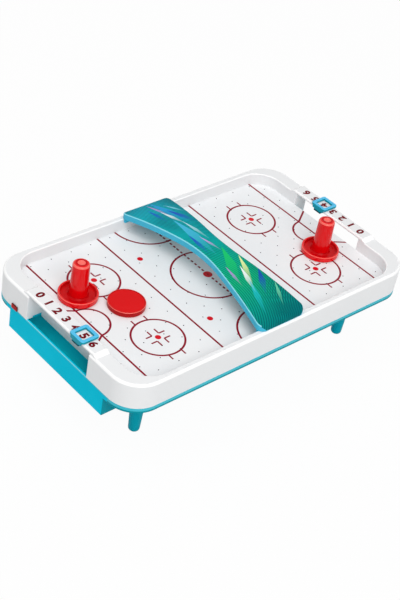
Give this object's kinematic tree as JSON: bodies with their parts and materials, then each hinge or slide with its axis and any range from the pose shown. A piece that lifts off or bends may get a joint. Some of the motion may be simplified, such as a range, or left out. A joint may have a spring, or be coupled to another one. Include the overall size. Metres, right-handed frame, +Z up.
{
  "type": "tabletop air hockey table",
  "caption": "Small table game with a blown, perforated field in a white rim, score rails, goal trays, an arched bridge, pushers, a puck and tapered legs.",
  "frame": {"origin": "on the floor under the middle of the table", "axes": "+X along the length towards the right goal, +Y towards the far long side, +Z up"},
  "size_m": [0.428, 0.25, 0.1431],
  "materials": {
    "white_plastic": "smooth white moulding",
    "board": "pale sheet with printed red rink lines",
    "teal_plastic": "smooth teal moulding",
    "bridge_print": "teal moulding with a printed top",
    "slider_blue": "pale blue moulding",
    "red_plastic": "glossy red moulding",
    "felt": "dark felt",
    "dark_plastic": "dark grey moulding",
    "pale_plastic": "off-white moulding",
    "steel": "plated steel",
    "cell_wrap": "printed metal sleeve, unlettered",
    "lead": "soft insulated lead"
  },
  "bodies": {
    "table": {"upper_frame": "white_plastic", "play_board": "board", "base_pan": "teal_plastic", "leg_near_left": "teal_plastic", "leg_near_right": "teal_plastic", "leg_far_left": "teal_plastic", "leg_far_right": "teal_plastic", "switch_body": "dark_plastic", "fan_housing": "dark_plastic", "motor": "steel", "batteries": "cell_wrap", "battery_contacts": "steel", "wiring": "lead", "case_screws": "steel", "fan_screws": "steel"},
    "bridge": {"bridge": "bridge_print"},
    "slider_left": {"score_slider_left": "slider_blue"},
    "slider_right": {"score_slider_right": "slider_blue"},
    "pusher_left": {"pusher_left": "red_plastic", "pusher_pad_left": "felt"},
    "pusher_right": {"pusher_right": "red_plastic", "pusher_pad_right": "felt"},
    "puck": {"puck": "red_plastic"},
    "switch": {"switch_knob": "red_plastic"},
    "fan": {"impeller": "pale_plastic", "motor_shaft": "steel"},
    "door": {"battery_door": "teal_plastic", "door_screw": "steel"}
  },
  "joints": [
    {"name": "score_left_slide", "type": "slide", "parent": "table", "child": "slider_left", "axis": [0, 1, 0], "range_m": [-0.0156, 0.078]},
    {"name": "score_right_slide", "type": "slide", "parent": "table", "child": "slider_right", "axis": [0, 1, 0], "range_m": [-0.0624, 0.0312]},
    {"name": "power_switch", "type": "slide", "parent": "table", "child": "switch", "axis": [0, 1, 0], "range_m": [0, 0.003]},
    {"name": "fan_spin", "type": "hinge", "parent": "table", "child": "fan", "pos_m": [0, 0, 0.08], "axis": [0, 0, 1], "continuous": true},
    {"name": "battery_door_hinge", "type": "hinge", "parent": "table", "child": "door", "pos_m": [0.0759, 0, 0.0735], "axis": [0, 1, 0], "range_deg": [0, 95]},
    {"name": "pusher_left_slide", "type": "slide", "parent": "table", "child": "pusher_left", "axis": [0.8766, 0.4811, 0], "range_m": [-0.018, 0.096]},
    {"name": "pusher_right_slide", "type": "slide", "parent": "table", "child": "pusher_right", "axis": [-0.8166, -0.5772, 0], "range_m": [-0.018, 0.1]},
    {"name": "puck_slide", "type": "slide", "parent": "table", "child": "puck", "axis": [1, 0, 0], "range_m": [-0.01, 0.231]},
    {"name": "bridge_lift", "type": "slide", "parent": "table", "child": "bridge", "axis": [0, 0, 1], "range_m": [0, 0.04]}
  ]
}
